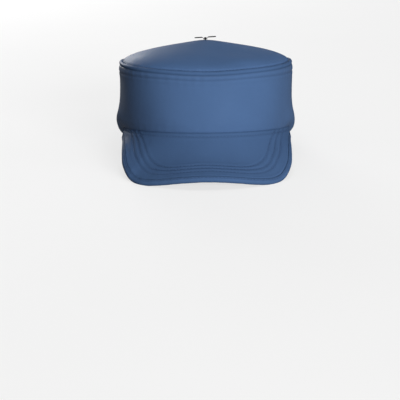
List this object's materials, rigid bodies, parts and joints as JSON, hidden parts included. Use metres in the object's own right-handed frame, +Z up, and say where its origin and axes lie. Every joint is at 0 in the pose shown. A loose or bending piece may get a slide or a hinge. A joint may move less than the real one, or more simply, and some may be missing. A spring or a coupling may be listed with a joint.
{
  "type": "kepi cap",
  "caption": "Soft kepi cap with an upright crown, a domed top with a rolled rim, a short curved peak with a bound edge and a tiny spinner on top.",
  "frame": {"origin": "on the ground, under the middle of the whole cap's box", "axes": "+Z up from the ground the cap rests on; -Y the way the peak points; +X the wearer's left"},
  "size_m": [0.1672, 0.2604, 0.1052],
  "materials": {
    "cotton": "matt woven cotton",
    "black_plastic": "satin black"
  },
  "bodies": {
    "cap": {"crown_wall": "cotton", "top_panel": "cotton", "peak": "cotton", "peak_binding": "cotton", "spinner_pin": "black_plastic"},
    "rotor": {"spinner_rotor": "black_plastic"}
  },
  "joints": [
    {"name": "spinner_turn", "type": "hinge", "parent": "cap", "child": "rotor", "pos_m": [0, 0.03404, 0.1018], "axis": [-0.0523, 0.1476, 0.9877], "continuous": true}
  ]
}
